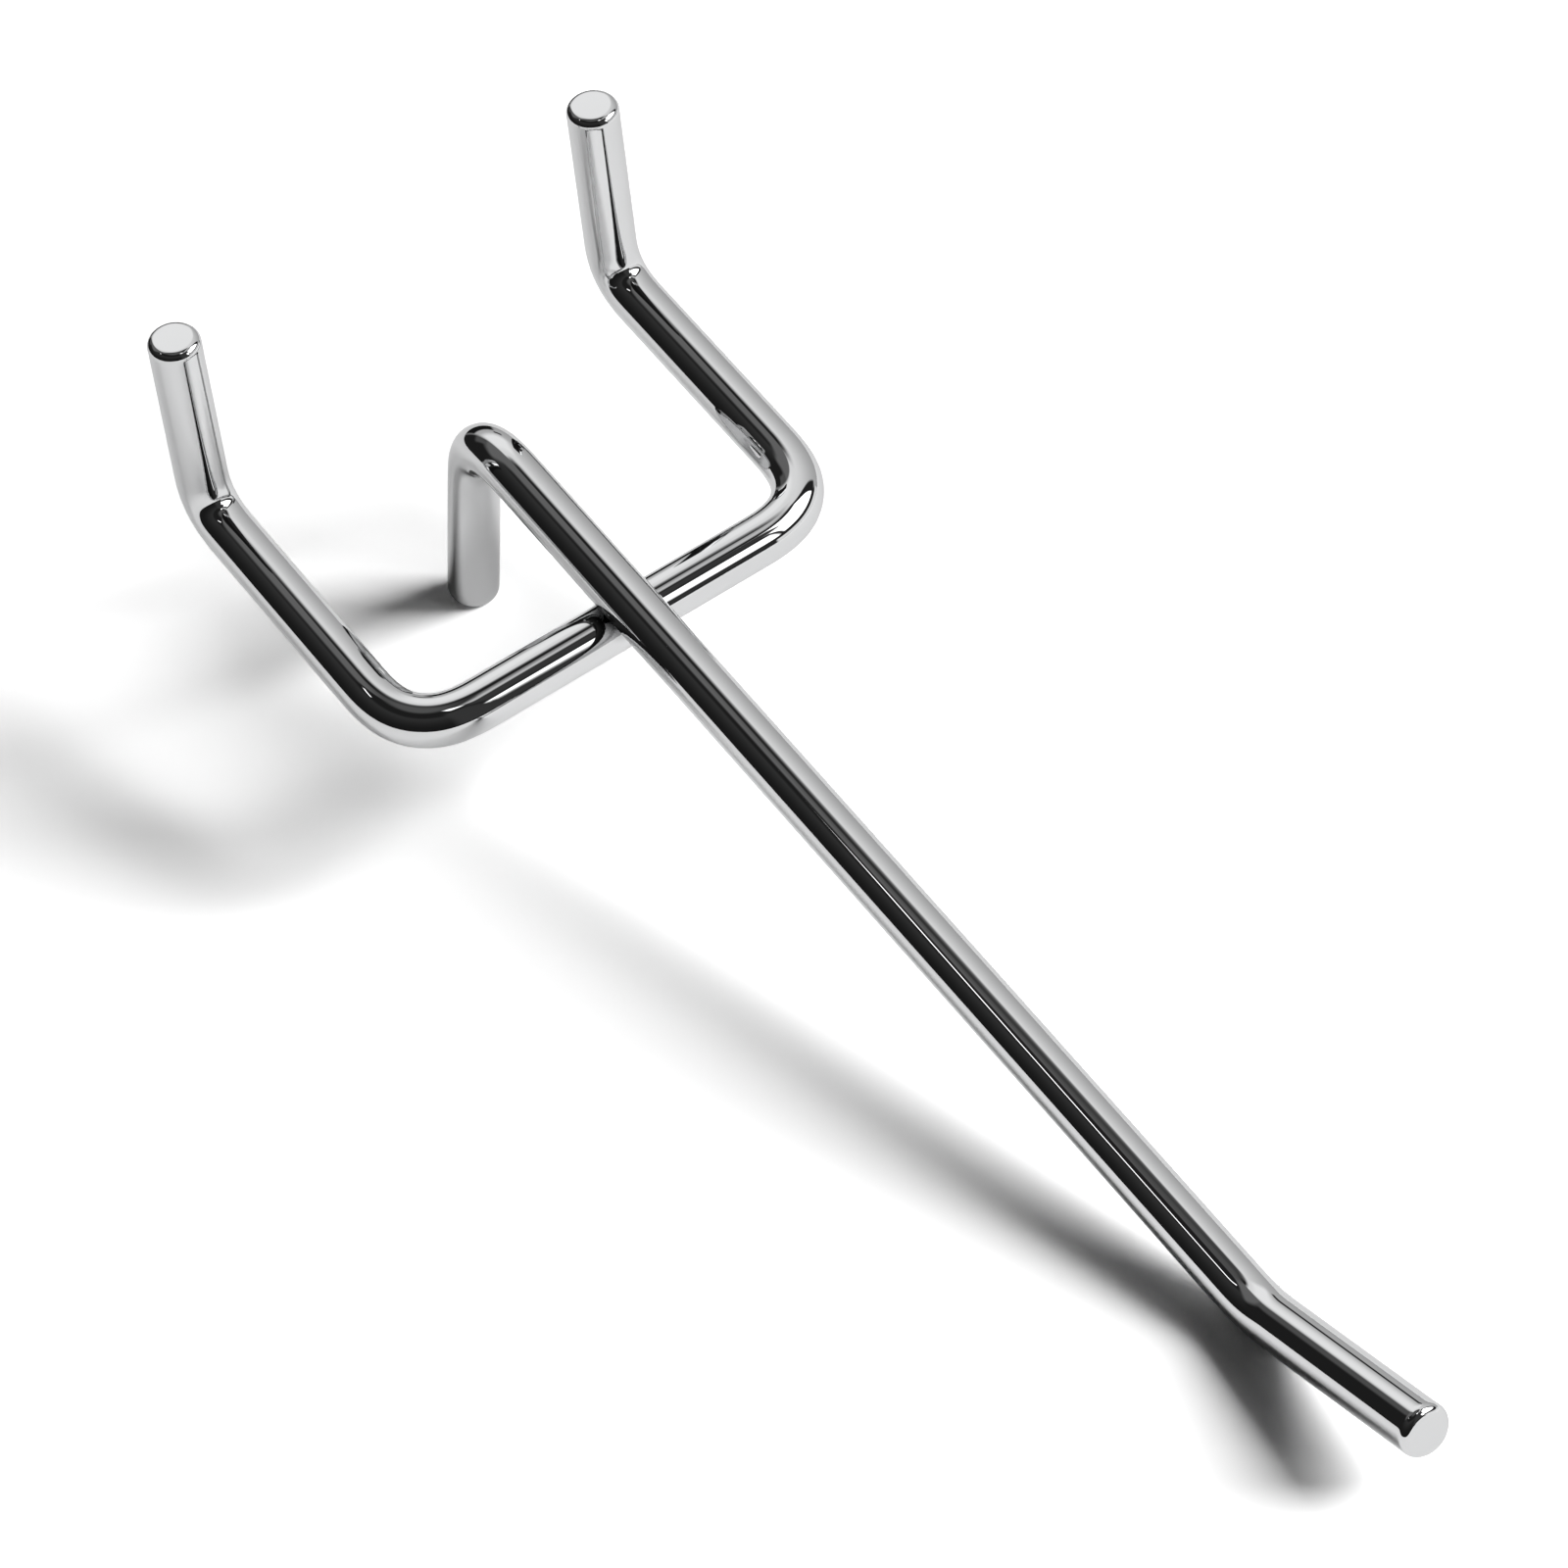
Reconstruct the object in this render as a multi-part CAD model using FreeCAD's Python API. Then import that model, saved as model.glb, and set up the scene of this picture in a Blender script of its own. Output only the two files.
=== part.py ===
import FreeCAD, Part
import math
import os

# Chrome-plated wire hook for a pegboard, in millimetres.
# A formed arm lies across a U-shaped back loop and is welded to its crossbar.
# The origin is on the board's front face, midway between the pegs, in the plane of the loop.
# +X runs across the pegs, +Y goes into the board and +Z is up, so the arm points to -Y.

# Wire, the same for both pieces
WIRE_DIAMETER = 5.5
END_ROUNDING = 0.6  # edge radius on every cut end

# Board that the hook goes into
BOARD_THICKNESS = 3.2
BOARD_CLEARANCE = 0.15  # play between the board's back and the pegs

# Back loop: bend radii are measured on the wire's axis, and lengths run to the corner of a bend
PEG_SPACING = 50.8  # two holes of a 25.4 mm board apart, centre to centre
LOOP_DEPTH = 31.0  # board's face to the crossbar's axis
LOOP_BEND_RADIUS = 7.0
PEG_LENGTH = 24.5
PEG_LEAN = 6.5  # degrees that the pegs lean away from the board
PEG_BEND_RADIUS = 4.6

# Arm
ARM_REACH = 103.3  # crossbar's axis to the corner of the tip
TIP_LENGTH = 26.0
TIP_RISE = 24.0  # degrees that the tip rises above the arm
TIP_BEND_RADIUS = 13.0
LEG_LENGTH = 30.5
LEG_LEAN = 5.0  # degrees that the leg leans towards the board
LEG_BEND_RADIUS = 7.0
WELD_SET_DOWN = 0.3  # depth that the weld presses the arm into the crossbar

WIRE_RADIUS = WIRE_DIAMETER / 2


def direction(front, up):
    """Unit vector in the hook's middle plane, from its parts along -Y and +Z."""
    return FreeCAD.Vector(0, -front, up).normalize()


def bend(before, corner, after, radius):
    """Arc of the given radius that rounds a corner of the wire's path."""
    back = (before - corner).normalize()
    ahead = (after - corner).normalize()
    half_angle = back.getAngle(ahead) / 2
    tangent_length = radius / math.tan(half_angle)
    inward = (back + ahead).normalize()
    middle = corner + inward * (radius / math.sin(half_angle) - radius)
    return Part.Arc(corner + back * tangent_length, middle, corner + ahead * tangent_length)


def wire_path(points, radii):
    """Straight runs between the points, joined by an arc at each inner point."""
    edges = []
    start = points[0]
    for before, corner, after, radius in zip(points, points[1:], points[2:], radii):
        arc = bend(before, corner, after, radius)
        edges.append(Part.LineSegment(start, arc.StartPoint).toShape())
        edges.append(arc.toShape())
        start = arc.EndPoint
    edges.append(Part.LineSegment(start, points[-1]).toShape())
    return Part.Wire(edges)


def formed_wire(points, radii):
    """Round wire along a path of bends, with its two cut ends rounded over."""
    path = wire_path(points, radii)
    section = Part.Circle(points[0], points[1] - points[0], WIRE_RADIUS)
    solid = path.makePipeShell([Part.Wire([section.toShape()])], True, False)
    cut_ends = [face for face in solid.Faces if isinstance(face.Surface, Part.Plane)]
    end_edges = [edge for face in cut_ends for edge in face.Edges]
    return solid.makeFillet(END_ROUNDING, end_edges)


def make_arm():
    """Leg that bears on the board's face, straight arm over the crossbar, and upturned tip."""
    height = WIRE_DIAMETER - WELD_SET_DOWN
    lean = math.radians(LEG_LEAN)
    rise = math.radians(TIP_RISE)
    leg_corner = FreeCAD.Vector(0, -WIRE_RADIUS * math.cos(lean) - LEG_LENGTH * math.sin(lean), height)
    leg_end = leg_corner + direction(-math.sin(lean), -math.cos(lean)) * LEG_LENGTH
    tip_corner = FreeCAD.Vector(0, -LOOP_DEPTH - ARM_REACH, height)
    tip_end = tip_corner + direction(math.cos(rise), math.sin(rise)) * TIP_LENGTH
    return formed_wire([leg_end, leg_corner, tip_corner, tip_end], [LEG_BEND_RADIUS, TIP_BEND_RADIUS])


def make_back_loop(arm):
    """Crossbar, two side runs through the board and two upturned pegs, with the arm's seat pressed in."""
    lean = math.radians(PEG_LEAN)
    peg_rise = direction(-math.sin(lean), math.cos(lean)) * PEG_LENGTH
    peg_y = BOARD_THICKNESS + BOARD_CLEARANCE + WIRE_RADIUS
    half = PEG_SPACING / 2
    left_peg_corner = FreeCAD.Vector(-half, peg_y, 0)
    right_peg_corner = FreeCAD.Vector(half, peg_y, 0)
    points = [
        left_peg_corner + peg_rise,
        left_peg_corner,
        FreeCAD.Vector(-half, -LOOP_DEPTH, 0),
        FreeCAD.Vector(half, -LOOP_DEPTH, 0),
        right_peg_corner,
        right_peg_corner + peg_rise,
    ]
    radii = [PEG_BEND_RADIUS, LOOP_BEND_RADIUS, LOOP_BEND_RADIUS, PEG_BEND_RADIUS]
    return formed_wire(points, radii).cut(arm)


hook_arm = make_arm()
back_loop = make_back_loop(hook_arm)

os.makedirs("parts", exist_ok=True)
hook_arm.exportStep("parts/hook_arm.step")
back_loop.exportStep("parts/back_loop.step")
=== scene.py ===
"""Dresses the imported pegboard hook: two bright chrome wires on a white sweep, seen from above."""

import logging
import math
from dataclasses import dataclass
from enum import Enum
from typing import Any, Mapping

import bpy
import numpy as np
from mathutils import Matrix, Vector


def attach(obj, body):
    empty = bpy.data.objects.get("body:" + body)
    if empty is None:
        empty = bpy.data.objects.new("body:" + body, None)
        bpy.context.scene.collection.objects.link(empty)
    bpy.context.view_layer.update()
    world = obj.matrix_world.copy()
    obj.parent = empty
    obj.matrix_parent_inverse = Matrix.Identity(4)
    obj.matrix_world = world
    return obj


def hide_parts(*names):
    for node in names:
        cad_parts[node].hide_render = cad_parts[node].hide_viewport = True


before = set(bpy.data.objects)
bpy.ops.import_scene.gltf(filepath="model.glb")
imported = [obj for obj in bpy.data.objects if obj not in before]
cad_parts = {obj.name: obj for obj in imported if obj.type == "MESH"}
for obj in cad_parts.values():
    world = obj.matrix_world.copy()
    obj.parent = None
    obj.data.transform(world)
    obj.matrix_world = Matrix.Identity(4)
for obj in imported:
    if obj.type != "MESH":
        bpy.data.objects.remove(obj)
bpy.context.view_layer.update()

LOG = logging.getLogger("pegboard_hook")
BODY = "root"
MM = 0.001
# Directions of the crossbar and of the arm
ACROSS = Vector((1, 0, 0))
ALONG = Vector((0, 1, 0))
# Places over half an easing run, and their weights in the mean that eases a bend
EASING_STEPS = (-1.0, -0.5, 0.0, 0.5, 1.0)
EASING_WEIGHTS = (1 / 12, 4 / 12, 2 / 12, 4 / 12, 1 / 12)
# That mean moves the middle of a bend in by this share of the easing squared, over the radius
EASING_INSET = 1 / 6
# Difference of two unit tangents over an easing run that counts as a full bend
FULL_BEND = 0.1
# Rounds in which the floor's tilt and the points that touch it settle
REST_ROUNDS = 4


class Attribute(str, Enum):
    """Named values that a formed wire's mesh carries for its finish."""

    SECTION = "section"
    RUN = "run"
    STRAIGHT = "straightened"
    BEND = "bend"
    BEND_RADIUS = "bend_radius"
    BEND_EASING = "bend_easing"
    # mask for the painted shade in the crevice where the wires cross
    CREVICE_SHADE = "crevice_shade"


class Ray(str, Enum):
    """Kinds of ray that a stage material or the room can tell apart."""

    CAMERA = "Is Camera Ray"
    GLOSSY = "Is Glossy Ray"
    TRANSMISSION = "Is Transmission Ray"


class NodeSheet:
    """A node tree written as Python: nodes by type, and maths on values by operators."""

    def __init__(self, tree: bpy.types.NodeTree) -> None:
        """Starts from an empty tree."""
        self.tree = tree
        tree.nodes.clear()

    def add(
        self,
        kind: str,
        settings: Mapping[str, Any] | None = None,
        sockets: Mapping[str | int, Any] | None = None,
    ) -> bpy.types.Node:
        """Adds one node.

        Args:
            kind: Blender's name for the node's type.
            settings: The node's own properties, which are set first.
            sockets: Input name or index, to a plain value, a signal or an output socket.

        Returns:
            The new node.
        """
        node = self.tree.nodes.new(kind)
        for name, value in (settings or {}).items():
            setattr(node, name, value)
        for key, value in (sockets or {}).items():
            self.feed(node.inputs[key], value)
        return node

    def feed(self, socket: bpy.types.NodeSocket, value: Any) -> None:
        """Links a signal or socket to an input, or sets a plain value on it."""
        if isinstance(value, Signal):
            value = value.socket
        if isinstance(value, bpy.types.NodeSocket):
            self.tree.links.new(value, socket)
        else:
            socket.default_value = value

    def signal(self, node: bpy.types.Node, output: str | int = 0) -> "Signal":
        """Wraps one output of a node as a value for expressions."""
        return Signal(self, node.outputs[output])

    def math(self, operation: str, *values: Any) -> "Signal":
        """Adds a Math node over plain values and signals."""
        return self.signal(self.add("ShaderNodeMath", {"operation": operation}, dict(enumerate(values))))

    def smooth(self, value: "Signal", start: float, end: float) -> "Signal":
        """Rises smoothly from 0 where the value is at start, to 1 where it is at end."""
        ramp = self.add(
            "ShaderNodeMapRange",
            {"interpolation_type": "SMOOTHSTEP"},
            {"Value": value, "From Min": start, "From Max": end},
        )
        return self.signal(ramp)

    def clamp(self, value: "Signal") -> "Signal":
        """Keeps a value between 0 and 1."""
        return self.math("MINIMUM", self.math("MAXIMUM", value, 0.0), 1.0)

    def attribute(self, name: Attribute) -> "Signal":
        """A named value of the mesh, for a shader."""
        node = self.add("ShaderNodeAttribute", {"attribute_name": name.value})
        return self.signal(node, "Fac")

    def field(self, name: Attribute, kind: str = "FLOAT") -> bpy.types.NodeSocket:
        """A named value of the geometry, for a Geometry Nodes tree."""
        node = self.add("GeometryNodeInputNamedAttribute", {"data_type": kind}, {"Name": name.value})
        return node.outputs["Attribute"]

    def blend(self, share: "Signal", first: Any, second: Any) -> bpy.types.NodeSocket:
        """Mixes two colours.

        Args:
            share: 0 for the first colour, to 1 for the second.
            first: A colour of three numbers, or a socket.
            second: A colour of three numbers, or a socket.

        Returns:
            The mixed colour.
        """
        node = self.add("ShaderNodeMix", {"data_type": "RGBA"}, {"Factor": share})
        colours = {"A_Color": first, "B_Color": second}
        for socket in node.inputs:
            if socket.identifier in colours:
                colour = colours[socket.identifier]
                self.feed(socket, (*colour, 1.0) if isinstance(colour, tuple) else colour)
        return next(socket for socket in node.outputs if socket.identifier == "Result_Color")

    def rays(self) -> tuple["Signal", "Signal"]:
        """Tells the camera's own rays, and rays that a mirror or glass sends on."""
        path = self.add("ShaderNodeLightPath")
        glossy = self.signal(path, Ray.GLOSSY.value)
        through = self.signal(path, Ray.TRANSMISSION.value)
        return self.signal(path, Ray.CAMERA.value), self.math("MAXIMUM", glossy, through)


class Signal:
    """One value in a node tree, whose operators add Math nodes."""

    def __init__(self, sheet: NodeSheet, socket: bpy.types.NodeSocket) -> None:
        """Wraps an output socket of the sheet's tree."""
        self.sheet = sheet
        self.socket = socket

    def __add__(self, other: Any) -> "Signal":
        """Sum of two values."""
        return self.sheet.math("ADD", self, other)

    def __radd__(self, other: Any) -> "Signal":
        """Sum, with a plain number first."""
        return self.sheet.math("ADD", other, self)

    def __sub__(self, other: Any) -> "Signal":
        """Difference of two values."""
        return self.sheet.math("SUBTRACT", self, other)

    def __rsub__(self, other: Any) -> "Signal":
        """Difference, with a plain number first."""
        return self.sheet.math("SUBTRACT", other, self)

    def __mul__(self, other: Any) -> "Signal":
        """Product of two values."""
        return self.sheet.math("MULTIPLY", self, other)

    def __rmul__(self, other: Any) -> "Signal":
        """Product, with a plain number first."""
        return self.sheet.math("MULTIPLY", other, self)

    def __truediv__(self, other: Any) -> "Signal":
        """Quotient of two values."""
        return self.sheet.math("DIVIDE", self, other)


@dataclass(frozen=True)
class ChromeFinish:
    """Bright chrome on drawn wire: mirror gloss, a faint draw grain, a little peel on the bends and
    painted shade in the crevice where the wires cross.
    """

    name: str = "bright_chrome"
    tint: tuple[float, float, float] = (0.57, 0.573, 0.577)
    haze_tint: tuple[float, float, float] = (0.54, 0.543, 0.547)
    roughness: float = 0.008
    haze_roughness: float = 0.012
    haze_scale: float = 90.0
    haze_detail: float = 3.0
    grain_across: float = 5200.0
    grain_along: float = 45.0
    grain_detail: float = 2.0
    grain_height: float = 0.00015 * MM
    peel_scale: float = 1100.0
    peel_detail: float = 1.0
    peel_height: float = 0.0012 * MM
    peel_on_runs: float = 0.25
    edge_tint: tuple[float, float, float] = (0.74, 0.74, 0.74)
    # painted shade: the dark colour laid into the crevice where the two wires cross
    crevice_painted_shade: tuple[float, float, float] = (0.04, 0.04, 0.042)
    gap_roughness: float = 0.12

    def material(self) -> bpy.types.Material:
        """Builds the plating as a node material.

        Returns:
            The chrome material, which reads the wire's straightened coordinates.
        """
        material = bpy.data.materials.new(self.name)
        material.use_nodes = True
        sheet = NodeSheet(material.node_tree)
        straight = sheet.add("ShaderNodeAttribute", {"attribute_name": Attribute.STRAIGHT.value})
        place = straight.outputs["Vector"]
        bend = sheet.attribute(Attribute.BEND)
        crevice_shade_mask = sheet.attribute(Attribute.CREVICE_SHADE)
        grain_scale = (self.grain_across, self.grain_across, self.grain_along)
        haze = self._noise(sheet, place, (self.haze_scale,) * 3, self.haze_detail)
        grain = self._noise(sheet, place, grain_scale, self.grain_detail)
        peel = self._noise(sheet, place, (self.peel_scale,) * 3, self.peel_detail)
        clean = sheet.blend(haze, self.tint, self.haze_tint)
        # painted shade: the base colour darkens in the crevice where the wires meet
        tint = sheet.blend(crevice_shade_mask, clean, self.crevice_painted_shade)
        draw_lines = sheet.add(
            "ShaderNodeBump", None, {"Strength": 1.0, "Distance": self.grain_height, "Height": grain}
        )
        peeled = sheet.add(
            "ShaderNodeBump",
            None,
            {
                "Strength": 1.0,
                "Distance": self.peel_height,
                "Height": peel * (self.peel_on_runs + bend),
                "Normal": draw_lines.outputs["Normal"],
            },
        )
        plating = sheet.add(
            "ShaderNodeBsdfPrincipled",
            None,
            {
                "Base Color": tint,
                "Metallic": 1.0,
                "Specular Tint": (*self.edge_tint, 1.0),
                "Roughness": self.roughness + self.haze_roughness * haze + self.gap_roughness * crevice_shade_mask,
                "Normal": peeled.outputs["Normal"],
            },
        )
        sheet.add("ShaderNodeOutputMaterial", None, {"Surface": plating.outputs["BSDF"]})
        return material

    @staticmethod
    def _noise(
        sheet: NodeSheet, place: bpy.types.NodeSocket, scale: tuple[float, ...], detail: float
    ) -> Signal:
        """Noise over a place that is stretched by its own scale on each axis.

        Args:
            sheet: The tree to add to.
            place: Coordinates in metres.
            scale: Features to a metre along each axis.
            detail: Octaves of finer noise.

        Returns:
            The noise, from 0 to 1.
        """
        scaled = sheet.add("ShaderNodeVectorMath", {"operation": "MULTIPLY"}, {0: place, 1: scale})
        noise = sheet.add(
            "ShaderNodeTexNoise",
            {"noise_dimensions": "3D"},
            {"Vector": scaled.outputs["Vector"], "Scale": 1.0, "Detail": detail},
        )
        return sheet.signal(noise, "Fac")


@dataclass(frozen=True)
class Corner:
    """A point of a wire's path, the radius of the bend there, and half the run over which it eases in."""

    place: Vector
    bend_radius: float = 0.0
    easing: float = 0.0


@dataclass
class FormedWire:
    """A round wire bent along straight runs, with its cut ends rounded over."""

    name: str
    node: str
    diameter: float = 5.5 * MM
    end_rounding: float = 0.9 * MM
    sides: int = 72
    stations: int = 640
    end_steps: int = 10
    bend_steps: int = 60
    crevice_shade_reach: float = 2.2 * MM

    @property
    def radius(self) -> float:
        """Half the wire's diameter."""
        return self.diameter / 2

    def corners(self) -> list[Corner]:
        """The path's corners from one cut end to the other."""
        raise NotImplementedError

    def crossing(self) -> Vector:
        """The point on the wire's axis where the other wire crosses it."""
        raise NotImplementedError

    def build(self, plating: bpy.types.Material) -> bpy.types.Object:
        """Sweeps the wire along its path, as a plain mesh in the part's own frame.

        Args:
            plating: The material that the sweep sets.

        Returns:
            The finished piece, at the origin.
        """
        path = self._path_object()
        tree, inputs = self._sweep_tree()
        sweep = path.modifiers.new("sweep", "NODES")
        sweep.node_group = tree
        values = {
            "Wire Radius": self.radius,
            "End Rounding": self.end_rounding,
            "Sides": self.sides,
            "Stations": self.stations,
            "End Steps": self.end_steps,
            "Bend Steps": self.bend_steps,
            "Plating": plating,
        }
        for name, value in values.items():
            sweep[inputs[name]] = value
        piece = bake(path, self.name)
        LOG.info("%s: %d faces in %s", self.name, len(piece.data.polygons), plating.name)
        return piece

    def dress(self, piece: bpy.types.Object) -> None:
        """Lets the piece stand for its solid and ride with the hook."""
        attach(piece, BODY)
        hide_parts(self.node)

    def mark_crevice_shade(self, piece: bpy.types.Object, other: Vector, along: Vector) -> None:
        """Marks where the wire nearly meets the one that it is welded to, for painted shade in the
        crevice there.

        Args:
            piece: The finished wire.
            other: A point on the other wire's axis.
            along: The direction of that axis.
        """
        points = np.array([vertex.co for vertex in piece.data.vertices]) - np.array(other)
        away = np.linalg.norm(np.cross(points, np.array(along)), axis=1) - self.radius
        marks = piece.data.attributes.new(Attribute.CREVICE_SHADE.value, "FLOAT", "POINT")
        marks.data.foreach_set("value", smooth_step(1.0 - away / self.crevice_shade_reach))

    def _path_object(self) -> bpy.types.Object:
        """Makes the path as an open line of edges, with each corner's radius and easing on its point."""
        corners = self.corners()
        mesh = bpy.data.meshes.new(self.name + "_path")
        edges = [(i, i + 1) for i in range(len(corners) - 1)]
        mesh.from_pydata([corner.place for corner in corners], edges, [])
        values = {
            Attribute.BEND_RADIUS: self._bend_radii(corners),
            Attribute.BEND_EASING: [corner.easing for corner in corners],
        }
        for name, row in values.items():
            mesh.attributes.new(name.value, "FLOAT", "POINT").data.foreach_set("value", row)
        path = bpy.data.objects.new(self.name + "_path", mesh)
        bpy.context.scene.collection.objects.link(path)
        return path

    @staticmethod
    def _bend_radii(corners: list[Corner]) -> list[float]:
        """Radius of each corner before easing, chosen so that easing leaves the bend's apex in place.

        Args:
            corners: The path's corners.

        Returns:
            One radius for each corner, 0 at the two ends.
        """
        radii = [0.0]
        for before, corner, after in zip(corners, corners[1:], corners[2:]):
            half_angle = (before.place - corner.place).angle(after.place - corner.place) / 2
            share = 1 / math.sin(half_angle) - 1
            apex = share * corner.bend_radius
            inset = EASING_INSET * corner.easing**2
            radii.append((apex + math.sqrt(max(apex**2 - 4 * share * inset, 0.0))) / (2 * share))
        return [*radii, 0.0]

    def _sweep_tree(self) -> tuple[bpy.types.NodeTree, dict[str, str]]:
        """Writes the sweep: rounded corners, stations that crowd at the cut ends, and a round section.

        Returns:
            The node tree, and its inputs' identifiers by name.
        """
        tree = bpy.data.node_groups.new(self.name + "_sweep", "GeometryNodeTree")
        sheet = NodeSheet(tree)
        faces = {
            "Path": "NodeSocketGeometry",
            "Wire Radius": "NodeSocketFloat",
            "End Rounding": "NodeSocketFloat",
            "Sides": "NodeSocketInt",
            "Stations": "NodeSocketInt",
            "End Steps": "NodeSocketInt",
            "Bend Steps": "NodeSocketInt",
            "Plating": "NodeSocketMaterial",
        }
        inputs = {
            name: tree.interface.new_socket(name, in_out="INPUT", socket_type=kind).identifier
            for name, kind in faces.items()
        }
        tree.interface.new_socket("Wire", in_out="OUTPUT", socket_type="NodeSocketGeometry")
        given = sheet.add("NodeGroupInput")
        line = self._rounded_path(sheet, given)
        stations, run, radius = self._stations(sheet, given, line)
        tube = self._tube(sheet, given, line, stations, run, radius)
        realized = sheet.add("GeometryNodeRealizeInstances", None, {"Geometry": tube})
        plated = sheet.add(
            "GeometryNodeSetMaterial",
            None,
            {"Geometry": realized.outputs["Geometry"], "Material": given.outputs["Plating"]},
        )
        sheet.add("NodeGroupOutput", None, {"Wire": plated.outputs["Geometry"]})
        return tree, inputs

    @staticmethod
    def _rounded_path(sheet: NodeSheet, given: bpy.types.Node) -> bpy.types.NodeSocket:
        """Turns the line of edges into a curve with each corner rounded to its own radius."""
        curve = sheet.add("GeometryNodeMeshToCurve", None, {"Mesh": given.outputs["Path"]})
        rounded = sheet.add(
            "GeometryNodeFilletCurve",
            {"mode": "POLY"},
            {
                "Curve": curve.outputs["Curve"],
                "Count": given.outputs["Bend Steps"],
                "Radius": sheet.field(Attribute.BEND_RADIUS),
            },
        )
        return rounded.outputs["Curve"]

    @staticmethod
    def _stations(
        sheet: NodeSheet, given: bpy.types.Node, line: bpy.types.NodeSocket
    ) -> tuple[bpy.types.NodeSocket, Signal, Signal]:
        """Spaces the section's stations along the path, closer together over the rounded ends.

        Args:
            sheet: The tree to add to.
            given: The tree's inputs.
            line: The rounded path.

        Returns:
            The stations as a curve, each one's distance along the path, and the wire's radius there.
        """
        length = sheet.signal(sheet.add("GeometryNodeCurveLength", None, {"Curve": line}))
        last = sheet.signal(given, "Stations") - 1.0
        steps = sheet.signal(given, "End Steps")
        rounding = sheet.signal(given, "End Rounding")
        index = sheet.signal(sheet.add("GeometryNodeInputIndex"))
        quarter = math.pi / 2
        near = sheet.math("MINIMUM", index / steps, 1.0) * quarter
        far = sheet.math("MINIMUM", (last - index) / steps, 1.0) * quarter
        middle = sheet.clamp((index - steps) / (last - 2.0 * steps))
        start = rounding * (1.0 - sheet.math("COSINE", near))
        end = rounding * sheet.math("COSINE", far)
        run = start + middle * (length - 2.0 * rounding) + end
        shrink = rounding * (2.0 - sheet.math("SINE", near) - sheet.math("SINE", far))
        radius = sheet.signal(given, "Wire Radius") - shrink
        row = sheet.add("GeometryNodeCurvePrimitiveLine")
        stations = sheet.add(
            "GeometryNodeResampleCurve",
            None,
            {"Curve": row.outputs["Curve"], "Count": given.outputs["Stations"]},
        )
        return stations.outputs["Curve"], run, radius

    @staticmethod
    def _tube(
        sheet: NodeSheet,
        given: bpy.types.Node,
        line: bpy.types.NodeSocket,
        stations: bpy.types.NodeSocket,
        run: Signal,
        radius: Signal,
    ) -> bpy.types.NodeSocket:
        """Sweeps the round section over the stations and stores what the finish reads.

        Args:
            sheet: The tree to add to.
            given: The tree's inputs.
            line: The rounded path.
            stations: One point for each ring of the tube.
            run: Each station's distance along the path.
            radius: The wire's radius at each station.

        Returns:
            The closed tube.
        """
        length = sheet.signal(sheet.add("GeometryNodeCurveLength", None, {"Curve": line}))
        to_end = sheet.math("MINIMUM", run, length - run)
        here = sheet.add(
            "GeometryNodeSampleCurve",
            {"mode": "LENGTH", "data_type": "FLOAT"},
            {"Curves": line, "Length": run, "Value": sheet.field(Attribute.BEND_EASING)},
        )
        reach = sheet.math("MINIMUM", sheet.signal(here, "Value"), to_end)
        looks = [
            sheet.add(
                "GeometryNodeSampleCurve",
                {"mode": "LENGTH"},
                {"Curves": line, "Length": run + step * reach},
            )
            for step in EASING_STEPS
        ]
        turn = sheet.add(
            "ShaderNodeVectorMath",
            {"operation": "DISTANCE"},
            {0: looks[0].outputs["Tangent"], 1: looks[-1].outputs["Tangent"]},
        )
        bend = sheet.smooth(sheet.signal(turn, "Value"), 0.0, FULL_BEND)
        eased: Any = (0.0, 0.0, 0.0)
        for look, weight in zip(looks, EASING_WEIGHTS):
            mean = sheet.add(
                "ShaderNodeVectorMath",
                {"operation": "MULTIPLY_ADD"},
                {0: look.outputs["Position"], 1: (weight,) * 3, 2: eased},
            )
            eased = mean.outputs["Vector"]
        placed = sheet.add("GeometryNodeSetPosition", None, {"Geometry": stations, "Position": eased})
        spine = store(sheet, placed.outputs["Geometry"], Attribute.RUN, "FLOAT", run)
        spine = store(sheet, spine, Attribute.BEND, "FLOAT", bend)
        circle = sheet.add(
            "GeometryNodeCurvePrimitiveCircle",
            None,
            {"Resolution": given.outputs["Sides"], "Radius": 1.0},
        )
        place = sheet.add("GeometryNodeInputPosition").outputs["Position"]
        section = store(sheet, circle.outputs["Curve"], Attribute.SECTION, "FLOAT_VECTOR", place)
        tube = sheet.add(
            "GeometryNodeCurveToMesh",
            None,
            {"Curve": spine, "Profile Curve": section, "Scale": radius, "Fill Caps": True},
        )
        rise = sheet.add("ShaderNodeCombineXYZ", None, {"Z": sheet.field(Attribute.RUN)})
        straight = sheet.add(
            "ShaderNodeVectorMath",
            {"operation": "MULTIPLY_ADD"},
            {
                0: sheet.field(Attribute.SECTION, "FLOAT_VECTOR"),
                1: given.outputs["Wire Radius"],
                2: rise.outputs["Vector"],
            },
        )
        unrolled = straight.outputs["Vector"]
        kept = store(sheet, tube.outputs["Mesh"], Attribute.STRAIGHT, "FLOAT_VECTOR", unrolled)
        for scratch in (Attribute.SECTION, Attribute.RUN):
            node = sheet.add(
                "GeometryNodeRemoveAttribute",
                None,
                {"Geometry": kept, "Name": scratch.value},
            )
            kept = node.outputs["Geometry"]
        return kept


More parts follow.
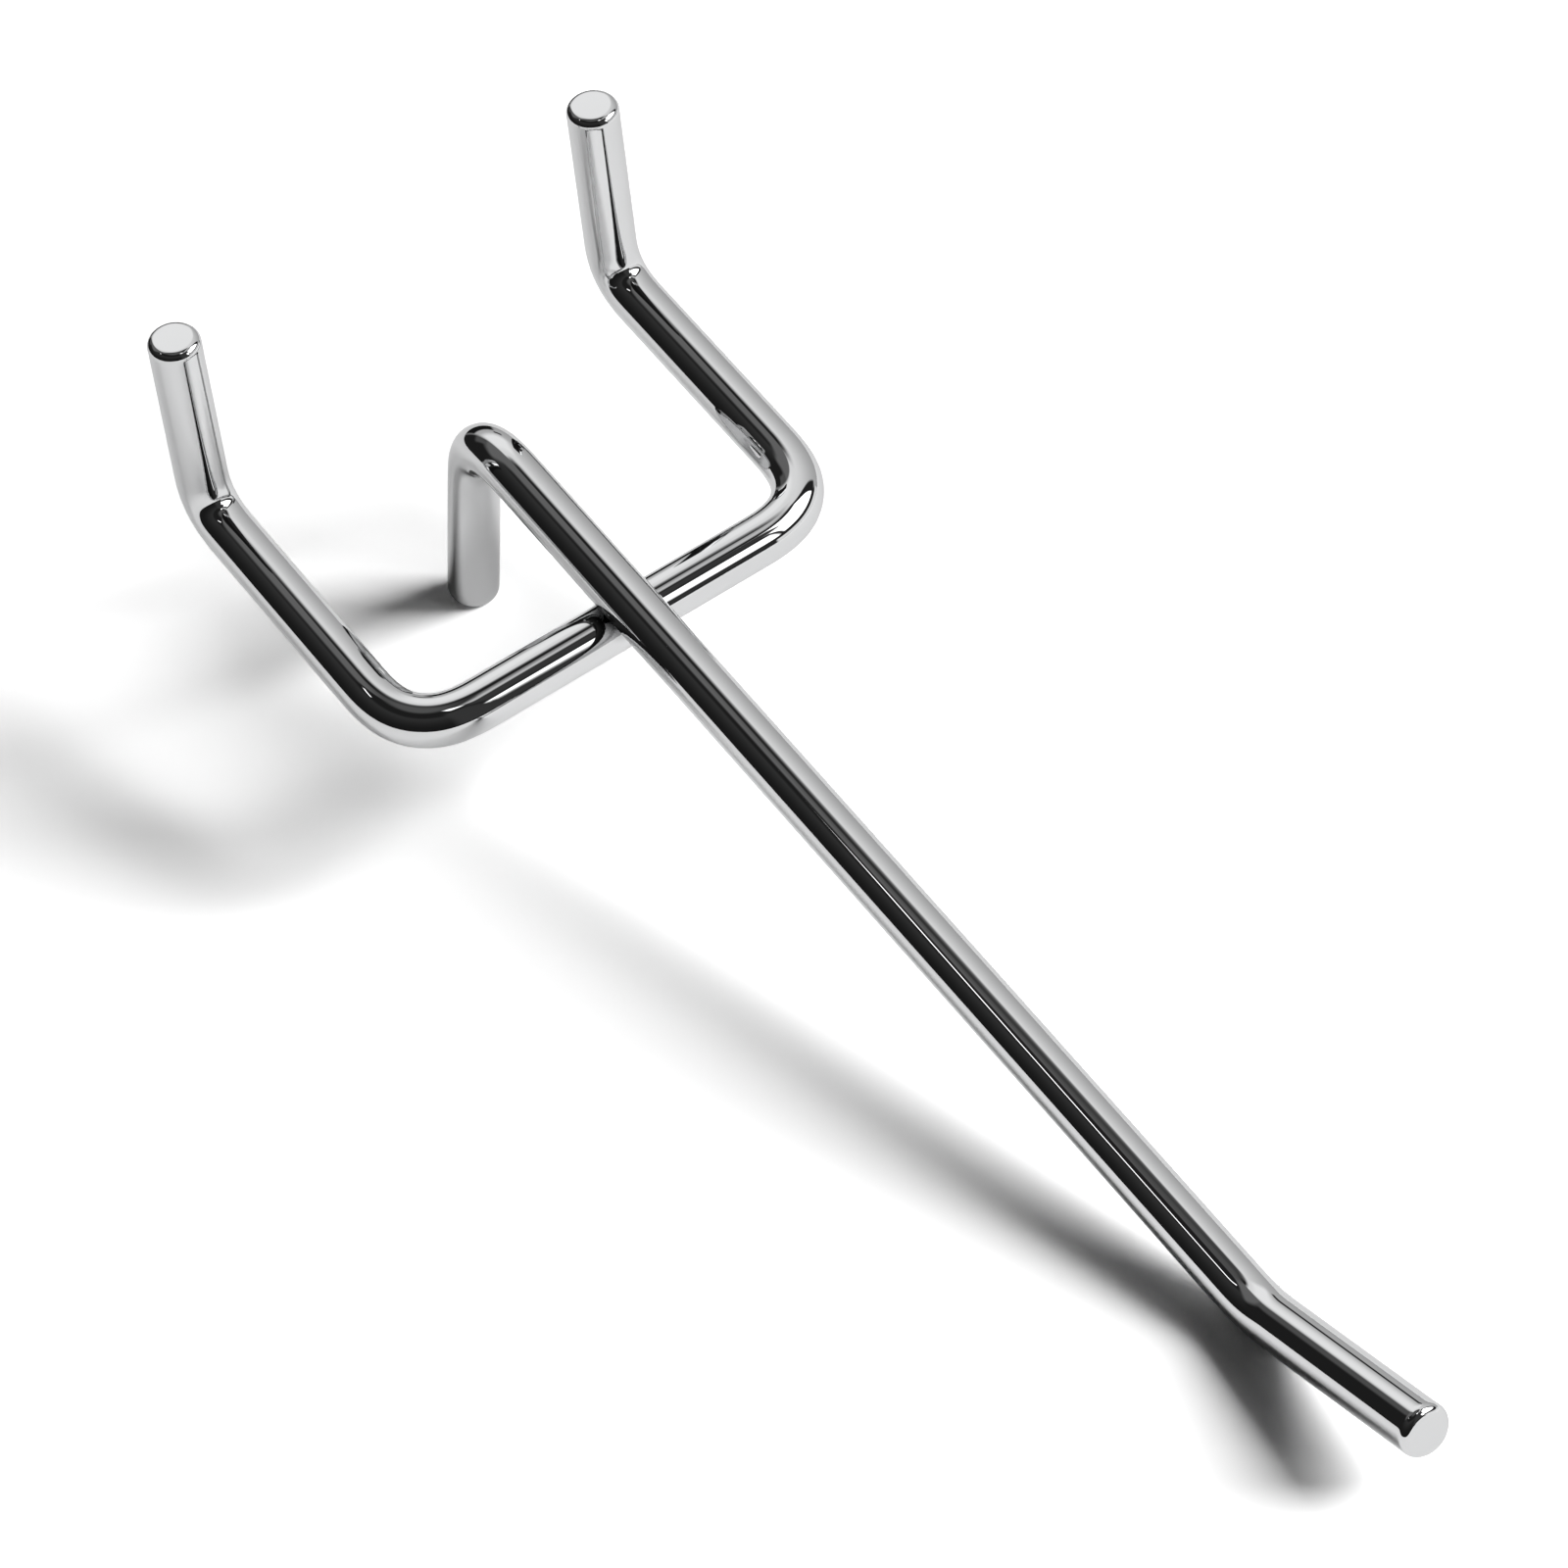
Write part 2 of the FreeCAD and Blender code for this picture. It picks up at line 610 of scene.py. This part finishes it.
@dataclass
class BackLoop(FormedWire):
    """Crossbar, two side runs through the board and two upturned pegs."""

    name: str = "chrome_loop"
    node: str = "back_loop"
    peg_spacing: float = 50.8 * MM
    depth: float = 31.0 * MM
    loop_bend: float = 7.0 * MM
    peg_corner_y: float = 6.1 * MM
    peg_length: float = 24.5 * MM
    peg_lean: float = math.radians(6.5)
    peg_bend: float = 4.6 * MM
    loop_easing: float = 3.2 * MM
    peg_easing: float = 1.8 * MM

    def corners(self) -> list[Corner]:
        """The loop from the left peg's end round to the right peg's end."""
        half = self.peg_spacing / 2
        rise = Vector((0, math.sin(self.peg_lean), math.cos(self.peg_lean))) * self.peg_length
        left = Vector((-half, self.peg_corner_y, 0))
        right = Vector((half, self.peg_corner_y, 0))
        return [
            Corner(left + rise),
            Corner(left, self.peg_bend, self.peg_easing),
            Corner(Vector((-half, -self.depth, 0)), self.loop_bend, self.loop_easing),
            Corner(Vector((half, -self.depth, 0)), self.loop_bend, self.loop_easing),
            Corner(right, self.peg_bend, self.peg_easing),
            Corner(right + rise),
        ]

    def crossing(self) -> Vector:
        """The point on the crossbar's axis that the arm passes over."""
        return Vector((0, -self.depth, 0))

    def seat(self, piece: bpy.types.Object, arm: bpy.types.Object) -> bpy.types.Object:
        """Presses the arm's seat into the crossbar, so that the two wires meet face to face.

        Args:
            piece: The plain loop.
            arm: The arm that lies across it.

        Returns:
            The loop with its seat.
        """
        cut = piece.modifiers.new("seat", "BOOLEAN")
        cut.operation = "DIFFERENCE"
        cut.solver = "EXACT"
        cut.object = arm
        return bake(piece, self.name)


@dataclass
class HookArm(FormedWire):
    """Leg that bears on the board's face, straight arm over the crossbar, and upturned tip."""

    name: str = "chrome_arm"
    node: str = "hook_arm"
    set_down: float = 0.3 * MM
    crossbar_y: float = -31.0 * MM
    reach: float = 103.3 * MM
    tip_length: float = 26.0 * MM
    tip_rise: float = math.radians(24.0)
    tip_bend: float = 13.0 * MM
    leg_length: float = 30.5 * MM
    leg_lean: float = math.radians(5.0)
    leg_bend: float = 7.0 * MM
    tip_easing: float = 1.0 * MM
    leg_easing: float = 3.0 * MM

    def corners(self) -> list[Corner]:
        """The arm from the leg's end to the tip's end."""
        height = self.diameter - self.set_down
        down = Vector((0, math.sin(self.leg_lean), -math.cos(self.leg_lean)))
        leg_y = -self.radius * math.cos(self.leg_lean) - self.leg_length * math.sin(self.leg_lean)
        leg = Vector((0, leg_y, height))
        tip = Vector((0, self.crossbar_y - self.reach, height))
        ahead = Vector((0, -math.cos(self.tip_rise), math.sin(self.tip_rise)))
        return [
            Corner(leg + down * self.leg_length),
            Corner(leg, self.leg_bend, self.leg_easing),
            Corner(tip, self.tip_bend, self.tip_easing),
            Corner(tip + ahead * self.tip_length),
        ]

    def crossing(self) -> Vector:
        """The point on the arm's axis over the crossbar."""
        return Vector((0, self.crossbar_y, self.diameter - self.set_down))


@dataclass(frozen=True)
class Rest:
    """The floor that the hook stands on: a point of it, and how far it tilts up towards the tip."""

    foot: Vector
    tilt: float

    @classmethod
    def under(cls, piece: bpy.types.Object) -> "Rest":
        """Finds the floor that touches the leg's end and the underside of the tip's bend.

        Args:
            piece: The arm's finished mesh.

        Returns:
            The floor under it.
        """
        points = np.array([vertex.co for vertex in piece.data.vertices])
        middle = (points[:, 1].min() + points[:, 1].max()) / 2
        rear = points[points[:, 1] > middle]
        front = points[points[:, 1] < middle]
        tilt = 0.0
        for _ in range(REST_ROUNDS):
            up = np.array([0.0, math.sin(tilt), math.cos(tilt)])
            foot = rear[np.argmin(rear @ up)]
            touch = front[np.argmin(front @ up)]
            tilt = math.atan2(touch[2] - foot[2], foot[1] - touch[1])
        return cls(Vector((0, foot[1], foot[2])), tilt)

    @property
    def turn(self) -> Matrix:
        """Rotation from level to the tilted floor."""
        return Matrix.Rotation(-self.tilt, 4, "X")

    def heading(self, azimuth: float, elevation: float) -> Vector:
        """Direction by angles over the floor, in degrees: azimuth 0 is the front and 90 the right."""
        a, e = math.radians(azimuth), math.radians(elevation)
        level = Vector((math.sin(a) * math.cos(e), -math.cos(a) * math.cos(e), math.sin(e)))
        return self.turn @ level


@dataclass(frozen=True)
class Card:
    """A patch of the room that the wires mirror, by angles over the floor in degrees.

    The level is its brightness, which changes to the top level at its upper edge where one is given.
    The slope is its rise for each degree of azimuth.
    """

    azimuth: float
    half_width: float
    elevation: float
    half_height: float
    level: float
    blur: float = 2.0
    top_level: float | None = None
    slope: float = 0.0


@dataclass(frozen=True)
class SoftLight:
    """A soft lamp, by its angles over the floor in degrees, its size in metres and its power in watts."""

    name: str
    heading: tuple[float, float]
    size: tuple[float, float]
    power: float


@dataclass
class Studio:
    """A white floor, one large softbox at the right, a pale backdrop behind and a dark room in front.

    The floor has one whiteness for the light that it sends on, one for the camera and two for mirrors,
    which see it darker near the leg's foot than further out, as painted shade.
    """

    rest: Rest
    floor_half: float = 0.4
    floor_white: float = 0.8
    floor_view_white: float = 1.3
    # the first, lower whiteness is painted shade on the floor near the leg's foot, seen only in mirrors
    floor_mirror_white: tuple[float, float] = (0.9, 1.12)
    foot_shade_reach: tuple[float, float] = (0.0065, 0.0135)
    floor_fade: tuple[float, float] = (0.2, 0.36)
    room_level: float = 0.02
    room_fill: float = 0.08
    lamp_distance: float = 4.0
    lamp_aim: tuple[float, float, float] = (0.0, -70.0 * MM, 0.0)
    lamps: tuple[SoftLight, ...] = (
        SoftLight("softbox", (54.0, 32.0), (1.93, 1.99), 322.0),
        SoftLight("strip", (23.5, 29.5), (0.42, 1.5), 15.0),
    )
    surround: tuple[Card, ...] = (
        Card(0.0, 190.0, 90.0, 13.0, 0.14, 6.0),  # overhead
        Card(-60.0, 72.0, 26.0, 27.0, 0.015, 5.0, 0.055),  # dark room at the front left
        Card(8.0, 13.0, 30.0, 30.0, 0.06, 5.0),  # dark room in front
        Card(-156.0, 22.0, 57.0, 19.0, 0.2, 6.0),  # grey wall at the left rear
        Card(-170.0, 10.0, 30.0, 10.0, 0.12, 4.0),  # lower part of that wall
        Card(140.0, 13.0, 65.0, 6.5, 0.3, 6.0),  # soft top of the backdrop
        Card(132.0, 50.0, 28.0, 39.0, 0.62, 4.0, 1.22),  # pale backdrop
        Card(156.0, 23.0, 43.0, 15.0, 1.35, 7.0),  # its brighter part
        Card(164.0, 17.0, 0.5, 13.0, 0.015, 2.5),  # dark gap under it
        Card(143.8, 5.0, 19.1, 2.4, 0.03, 1.0),  # dark seam in it
    )
    lamp_faces: tuple[Card, ...] = (
        Card(60.0, 26.0, 67.0, 4.0, 0.85, 4.0),  # glow over the softbox
        Card(22.0, 9.0, 71.0, 3.5, 2.8, 2.0),  # small lamp overhead
        Card(54.0, 33.0, 38.5, 24.5, 0.025, 1.5),  # softbox's dark frame
        Card(53.5, 22.5, 38.0, 19.0, 3.6, 1.0),  # softbox's face
        Card(32.0, 8.0, 54.0, 9.0, 0.06, 2.0),  # corner that hides a part of that face
        Card(24.0, 3.6, 28.0, 11.0, 3.0, 1.5),  # strip's face
        Card(54.0, 30.0, 2.5, 5.0, 1.2, 1.0),  # low light under the softbox
        Card(-119.0, 6.5, 60.3, 0.75, 3.5, 0.6, slope=-0.25),  # line light at the left
    )

    def build(self) -> None:
        """Makes the floor, the lamps and the room."""
        self._floor()
        for lamp in self.lamps:
            self._lamp(lamp)
        self._room()

    def _floor(self) -> None:
        """Lays the floor under the hook, white and with the hook's shadow on it."""
        half = self.floor_half
        corners = [(-half, -half, 0), (half, -half, 0), (half, half, 0), (-half, half, 0)]
        mesh = bpy.data.meshes.new("floor")
        mesh.from_pydata(corners, [], [range(len(corners))])
        mesh.transform(Matrix.Translation(self.rest.foot) @ self.rest.turn)
        floor = bpy.data.objects.new("floor", mesh)
        bpy.context.scene.collection.objects.link(floor)
        mesh.materials.append(self._floor_material())
        LOG.info("floor: tilted %.2f degrees under the hook", math.degrees(self.rest.tilt))

    def _floor_material(self) -> bpy.types.Material:
        """Matt white near the hook, with painted shade near the leg's foot for mirrors, plain white
        further out, and clear from below.
        """
        material = bpy.data.materials.new("white_floor")
        material.use_nodes = True
        sheet = NodeSheet(material.node_tree)
        camera, mirror = sheet.rays()
        place = sheet.add("ShaderNodeTexCoord").outputs["Object"]
        from_foot = sheet.add(
            "ShaderNodeVectorMath", {"operation": "DISTANCE"}, {0: place, 1: self.rest.foot}
        )
        # painted shade: mirrors see the floor darker within a few millimetres of the leg's foot
        open_floor = sheet.smooth(sheet.signal(from_foot, "Value"), *self.foot_shade_reach)
        near, wide = self.floor_mirror_white
        white = (
            self.floor_white
            + camera * (self.floor_view_white - self.floor_white)
            + mirror * (near - self.floor_white + (wide - near) * open_floor)
        )
        matt = sheet.add("ShaderNodeBsdfDiffuse", None, {"Color": white})
        plain = sheet.add("ShaderNodeEmission", None, {"Strength": 1.0})
        distance = sheet.add("ShaderNodeVectorMath", {"operation": "LENGTH"}, {0: place})
        far = sheet.smooth(sheet.signal(distance, "Value"), *self.floor_fade)
        top = sheet.add(
            "ShaderNodeMixShader",
            None,
            {0: far * camera, 1: matt.outputs[0], 2: plain.outputs[0]},
        )
        clear = sheet.add("ShaderNodeBsdfTransparent")
        side = sheet.add("ShaderNodeNewGeometry")
        both = sheet.add(
            "ShaderNodeMixShader",
            None,
            {0: side.outputs["Backfacing"], 1: top.outputs[0], 2: clear.outputs[0]},
        )
        sheet.add("ShaderNodeOutputMaterial", None, {"Surface": both.outputs[0]})
        return material

    def _lamp(self, light: SoftLight) -> None:
        """Hangs a soft lamp that faces the hook, out of the camera's sight."""
        data = bpy.data.lights.new(light.name, "AREA")
        data.shape = "RECTANGLE"
        data.size, data.size_y = light.size
        data.energy = light.power
        lamp = bpy.data.objects.new(light.name, data)
        towards = self.rest.heading(*light.heading)
        lamp.location = Vector(self.lamp_aim) + towards * self.lamp_distance
        lamp.rotation_mode = "QUATERNION"
        lamp.rotation_quaternion = towards.to_track_quat("Z", "Y")
        lamp.visible_camera = False
        lamp.visible_glossy = False
        bpy.context.scene.collection.objects.link(lamp)
        LOG.info("%s: %.0f watts", light.name, light.power)

    def _room(self) -> None:
        """Paints the room: white to the camera, and dark with pale cards to every other ray."""
        world = bpy.data.worlds.new("room")
        world.use_nodes = True
        sheet = NodeSheet(world.node_tree)
        place = sheet.add("ShaderNodeTexCoord")
        levelled = sheet.add(
            "ShaderNodeVectorRotate",
            {"rotation_type": "X_AXIS"},
            {"Vector": place.outputs["Generated"], "Angle": self.rest.tilt},
        )
        parts = sheet.add("ShaderNodeSeparateXYZ", None, {0: levelled.outputs[0]})
        x, y, z = (sheet.signal(parts, axis) for axis in "XYZ")
        azimuth = sheet.math("DEGREES", sheet.math("ARCTAN2", x, -1.0 * y))
        elevation = sheet.math("DEGREES", sheet.math("ARCSINE", z))
        surround = self._hang(sheet, self.surround, self.room_level, azimuth, elevation)
        mirrored = self._hang(sheet, self.lamp_faces, surround, azimuth, elevation)
        camera, mirror = sheet.rays()
        lit = mirror * mirrored + (1.0 - mirror) * (self.room_fill * surround)
        strength = camera + (1.0 - camera) * lit
        white = (1.0, 1.0, 1.0, 1.0)
        glow = sheet.add("ShaderNodeBackground", None, {"Color": white, "Strength": strength})
        sheet.add("ShaderNodeOutputWorld", None, {"Surface": glow.outputs[0]})
        bpy.context.scene.world = world

    def _hang(
        self, sheet: NodeSheet, cards: tuple[Card, ...], level: Any, azimuth: Signal, elevation: Signal
    ) -> Any:
        """Lays cards over a room, each one over those before it.

        Args:
            sheet: The tree to add to.
            cards: The cards in order.
            level: The brightness behind them.
            azimuth: The ray's azimuth in degrees.
            elevation: The ray's elevation in degrees.

        Returns:
            The brightness with the cards in it.
        """
        for card in cards:
            mask = self._card_mask(sheet, card, azimuth, elevation)
            level = mask * self._card_level(sheet, card, elevation) + (1.0 - mask) * level
        return level

    @staticmethod
    def _card_level(sheet: NodeSheet, card: Card, elevation: Signal) -> Any:
        """The card's brightness, which may grow towards its upper edge."""
        if card.top_level is None:
            return card.level
        rise = sheet.clamp((elevation - (card.elevation - card.half_height)) / (2.0 * card.half_height))
        return card.level + (card.top_level - card.level) * (rise * rise)

    @staticmethod
    def _card_mask(sheet: NodeSheet, card: Card, azimuth: Signal, elevation: Signal) -> Signal:
        """1 over the card and 0 elsewhere, with its edges blurred."""
        turn = sheet.math("WRAP", azimuth - card.azimuth, 180.0, -180.0)
        across = sheet.math("ABSOLUTE", turn)
        height = elevation - card.elevation
        if card.slope:
            height = height - card.slope * turn
        upward = sheet.math("ABSOLUTE", height)
        wide = sheet.smooth(across, card.half_width + card.blur, card.half_width - card.blur)
        tall = sheet.smooth(upward, card.half_height + card.blur, card.half_height - card.blur)
        return wide * tall


@dataclass(frozen=True)
class Viewpoint:
    """The camera, by the point that it looks at and its angles round the part."""

    target: tuple[float, float, float] = (-0.6 * MM, -59.8 * MM, 5.2 * MM)
    azimuth: float = math.radians(-35.2)
    elevation: float = math.radians(55.18)
    roll: float = math.radians(-0.98)
    distance: float = 679.7 * MM
    focal_length: float = 159.18
    sensor: float = 36.0

    def build(self) -> bpy.types.Object:
        """Sets up the camera and makes it the scene's own.

        Returns:
            The camera.
        """
        data = bpy.data.cameras.new("camera")
        data.lens = self.focal_length
        data.sensor_width = self.sensor
        camera = bpy.data.objects.new("camera", data)
        back = Vector(
            (
                math.sin(self.azimuth) * math.cos(self.elevation),
                -math.cos(self.azimuth) * math.cos(self.elevation),
                math.sin(self.elevation),
            )
        )
        camera.location = Vector(self.target) + back * self.distance
        upright = (-back).to_track_quat("-Z", "Y").to_matrix().to_4x4()
        camera.rotation_mode = "QUATERNION"
        camera.rotation_quaternion = (upright @ Matrix.Rotation(self.roll, 4, "Z")).to_quaternion()
        bpy.context.scene.collection.objects.link(camera)
        bpy.context.scene.camera = camera
        return camera


def smooth_step(values: np.ndarray) -> np.ndarray:
    """Rises smoothly from 0 at 0 to 1 at 1, and stays flat beyond both."""
    share = np.clip(values, 0.0, 1.0)
    return share * share * (3.0 - 2.0 * share)


def store(
    sheet: NodeSheet, geometry: bpy.types.NodeSocket, name: Attribute, kind: str, value: Any
) -> bpy.types.NodeSocket:
    """Stores a named value on every point of a geometry.

    Args:
        sheet: The tree to add to.
        geometry: What carries the value.
        name: The value's name.
        kind: Its data type.
        value: The field to store.

    Returns:
        The geometry with the value on it.
    """
    node = sheet.add(
        "GeometryNodeStoreNamedAttribute",
        {"data_type": kind, "domain": "POINT"},
        {"Geometry": geometry, "Name": name.value, "Value": value},
    )
    return node.outputs["Geometry"]


def bake(source: bpy.types.Object, name: str) -> bpy.types.Object:
    """Turns an object and its modifiers into a plain mesh of its own, and removes the source.

    Args:
        source: The object to evaluate.
        name: The finished piece's name.

    Returns:
        The plain piece, at the origin.
    """
    graph = bpy.context.evaluated_depsgraph_get()
    mesh = bpy.data.meshes.new_from_object(source.evaluated_get(graph), depsgraph=graph)
    bpy.data.objects.remove(source)
    mesh.name = name
    piece = bpy.data.objects.new(name, mesh)
    bpy.context.scene.collection.objects.link(piece)
    return piece


def main() -> None:
    """Builds the two wires, the studio round them and the camera."""
    logging.basicConfig(level=logging.INFO, format="%(name)s %(message)s")
    plating = ChromeFinish().material()
    arm, loop = HookArm(), BackLoop()
    arm_piece = arm.build(plating)
    loop_piece = loop.seat(loop.build(plating), arm_piece)
    # painted shade in the crevice where the two wires cross
    arm.mark_crevice_shade(arm_piece, loop.crossing(), ACROSS)
    loop.mark_crevice_shade(loop_piece, arm.crossing(), ALONG)
    arm.dress(arm_piece)
    loop.dress(loop_piece)
    Studio(Rest.under(arm_piece)).build()
    Viewpoint().build()
    bpy.context.scene.view_settings.view_transform = "Standard"


if __name__ == "__main__":
    main()
